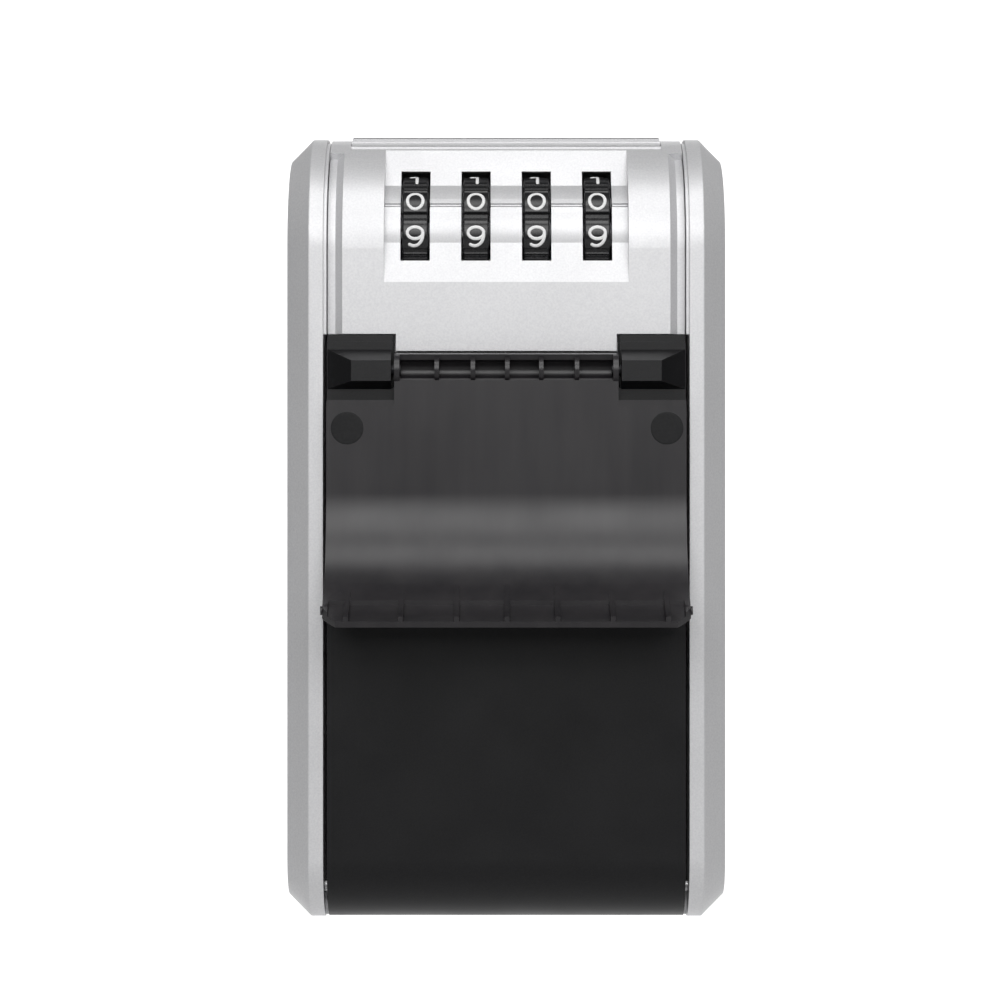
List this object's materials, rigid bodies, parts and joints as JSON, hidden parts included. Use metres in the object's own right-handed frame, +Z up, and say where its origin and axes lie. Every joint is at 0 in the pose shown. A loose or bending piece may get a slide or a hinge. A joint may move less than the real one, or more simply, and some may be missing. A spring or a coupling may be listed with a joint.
{
  "type": "wall key safe",
  "caption": "Wall-mounted combination key safe with a bottom-hinged door, code wheels, a press-down release bar and a hinged weather shutter that hangs open below the dials.",
  "frame": {"origin": "centre of the housing's flat back face, on the wall", "axes": "+X to the right seen from the front, +Y into the wall, +Z up"},
  "size_m": [0.09, 0.0716, 0.1635],
  "materials": {
    "silver_paint": "satin",
    "cover_plastic": "matte",
    "shutter_plastic": "satin",
    "wheel_plastic": "gloss",
    "steel": "satin",
    "zinc": "satin"
  },
  "bodies": {
    "housing": {"housing_shell": "silver_paint", "door_hinge_pins": "steel", "strike_plate": "steel", "strike_screws": "steel"},
    "door": {"door_casting": "silver_paint", "lower_cover": "cover_plastic", "cover_screws": "steel", "shutter_pins": "steel", "wheel_shaft": "steel", "shaft_clips": "steel", "detent_spring": "steel", "detent_screws": "steel", "mechanism_cover": "steel", "mechanism_screws": "steel"},
    "shutter": {"shutter": "shutter_plastic"},
    "wheel_1": {"dial_wheel_1": "wheel_plastic", "code_hub_1": "zinc"},
    "wheel_2": {"dial_wheel_2": "wheel_plastic", "code_hub_2": "zinc"},
    "wheel_3": {"dial_wheel_3": "wheel_plastic", "code_hub_3": "zinc"},
    "wheel_4": {"dial_wheel_4": "wheel_plastic", "code_hub_4": "zinc"},
    "latch": {"latch_plate": "steel", "fence_comb": "steel", "release_bar": "cover_plastic", "bar_screws": "steel", "latch_springs": "steel"},
    "reset": {"reset_lever": "zinc"}
  },
  "joints": [
    {"name": "door_hinge", "type": "hinge", "parent": "housing", "child": "door", "pos_m": [0, -0.0405, -0.0742], "axis": [1, 0, 0], "range_deg": [0, 95]},
    {"name": "shutter_hinge", "type": "hinge", "parent": "door", "child": "shutter", "pos_m": [0, -0.0485, 0.0317], "axis": [-1, 0, 0], "range_deg": [0, 180]},
    {"name": "wheel_1_spin", "type": "hinge", "parent": "door", "child": "wheel_1", "pos_m": [-0.01875, -0.031, 0.0603], "axis": [1, 0, 0], "continuous": true},
    {"name": "wheel_2_spin", "type": "hinge", "parent": "door", "child": "wheel_2", "pos_m": [-0.00625, -0.031, 0.0603], "axis": [1, 0, 0], "continuous": true},
    {"name": "wheel_3_spin", "type": "hinge", "parent": "door", "child": "wheel_3", "pos_m": [0.00625, -0.031, 0.0603], "axis": [1, 0, 0], "continuous": true},
    {"name": "wheel_4_spin", "type": "hinge", "parent": "door", "child": "wheel_4", "pos_m": [0.01875, -0.031, 0.0603], "axis": [1, 0, 0], "continuous": true},
    {"name": "latch_press", "type": "slide", "parent": "door", "child": "latch", "axis": [0, 0, -1], "range_m": [0, 0.003], "stiffness_N_per_m": 1500, "springref_m": -0.002, "deforming": ["latch_springs"]},
    {"name": "reset_turn", "type": "hinge", "parent": "door", "child": "reset", "pos_m": [0, -0.0149, 0.052], "axis": [0, 1, 0], "range_deg": [0, 90]}
  ]
}
